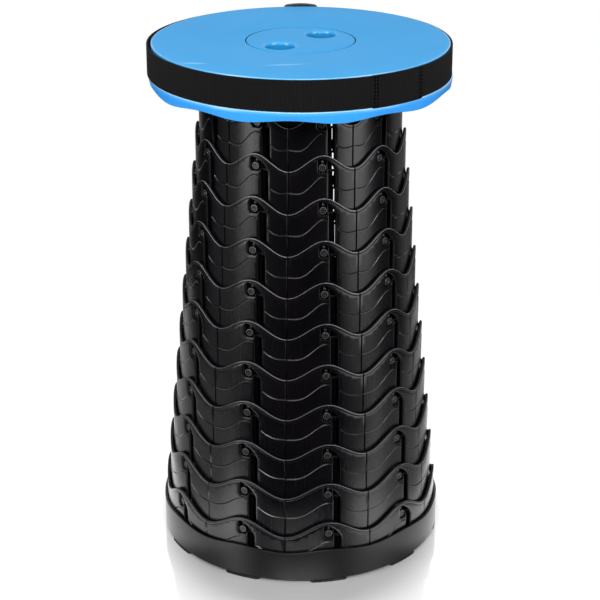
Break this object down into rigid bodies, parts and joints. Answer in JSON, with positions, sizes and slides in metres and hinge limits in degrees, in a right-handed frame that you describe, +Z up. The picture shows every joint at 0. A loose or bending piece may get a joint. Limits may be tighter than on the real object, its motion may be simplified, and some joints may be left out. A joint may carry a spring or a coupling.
{
  "type": "collapsible telescopic stool",
  "caption": "Round folding stool of nested wavy rings that telescope up from a low base under a round seat with finger holes and a carry strap.",
  "frame": {"origin": "centre of the base on the floor", "axes": "+Z up along the stool's axis, -Y towards the front as pictured, +X to the pictured right"},
  "size_m": [0.2573, 0.2603, 0.452],
  "materials": {
    "ring_black": "satin moulded black polypropylene",
    "base_black": "satin moulded black polypropylene",
    "seat_blue": "satin moulded bright blue polypropylene",
    "strap_webbing": "ribbed black polyester webbing",
    "slider_black": "smooth moulded black plastic",
    "pad_rubber": "matte dark rubber",
    "screw_steel": "plain zinc steel"
  },
  "bodies": {
    "base": {"base_tray": "base_black", "wall_ring_1": "ring_black", "foot_pad_1": "pad_rubber", "foot_pad_2": "pad_rubber", "foot_pad_3": "pad_rubber", "foot_pad_4": "pad_rubber", "foot_pad_5": "pad_rubber", "foot_pad_6": "pad_rubber", "foot_pad_7": "pad_rubber", "foot_pad_8": "pad_rubber", "foot_pad_9": "pad_rubber", "foot_pad_10": "pad_rubber"},
    "ring_2": {"wall_ring_2": "ring_black"},
    "ring_3": {"wall_ring_3": "ring_black"},
    "ring_4": {"wall_ring_4": "ring_black"},
    "ring_5": {"wall_ring_5": "ring_black"},
    "ring_6": {"wall_ring_6": "ring_black"},
    "ring_7": {"wall_ring_7": "ring_black"},
    "ring_8": {"wall_ring_8": "ring_black"},
    "ring_9": {"wall_ring_9": "ring_black"},
    "ring_10": {"wall_ring_10": "ring_black"},
    "ring_11": {"wall_ring_11": "ring_black"},
    "seat": {"wall_ring_12": "ring_black", "seat_shell": "seat_blue", "centre_cap": "seat_blue", "cap_screw_1": "screw_steel", "cap_screw_2": "screw_steel", "cap_screw_3": "screw_steel", "cap_screw_4": "screw_steel", "carry_strap": "strap_webbing", "strap_slider": "slider_black"}
  },
  "joints": [
    {"name": "ring_2_slide", "type": "slide", "parent": "base", "child": "ring_2", "axis": [0, 0, 1], "range_m": [-0.035, 0]},
    {"name": "ring_3_slide", "type": "slide", "parent": "ring_2", "child": "ring_3", "axis": [0, 0, 1], "range_m": [-0.035, 0]},
    {"name": "ring_4_slide", "type": "slide", "parent": "ring_3", "child": "ring_4", "axis": [0, 0, 1], "range_m": [-0.035, 0]},
    {"name": "ring_5_slide", "type": "slide", "parent": "ring_4", "child": "ring_5", "axis": [0, 0, 1], "range_m": [-0.035, 0]},
    {"name": "ring_6_slide", "type": "slide", "parent": "ring_5", "child": "ring_6", "axis": [0, 0, 1], "range_m": [-0.035, 0]},
    {"name": "ring_7_slide", "type": "slide", "parent": "ring_6", "child": "ring_7", "axis": [0, 0, 1], "range_m": [-0.035, 0]},
    {"name": "ring_8_slide", "type": "slide", "parent": "ring_7", "child": "ring_8", "axis": [0, 0, 1], "range_m": [-0.035, 0]},
    {"name": "ring_9_slide", "type": "slide", "parent": "ring_8", "child": "ring_9", "axis": [0, 0, 1], "range_m": [-0.035, 0]},
    {"name": "ring_10_slide", "type": "slide", "parent": "ring_9", "child": "ring_10", "axis": [0, 0, 1], "range_m": [-0.035, 0]},
    {"name": "ring_11_slide", "type": "slide", "parent": "ring_10", "child": "ring_11", "axis": [0, 0, 1], "range_m": [-0.035, 0]},
    {"name": "seat_slide", "type": "slide", "parent": "ring_11", "child": "seat", "axis": [0, 0, 1], "range_m": [-0.035, 0]}
  ]
}
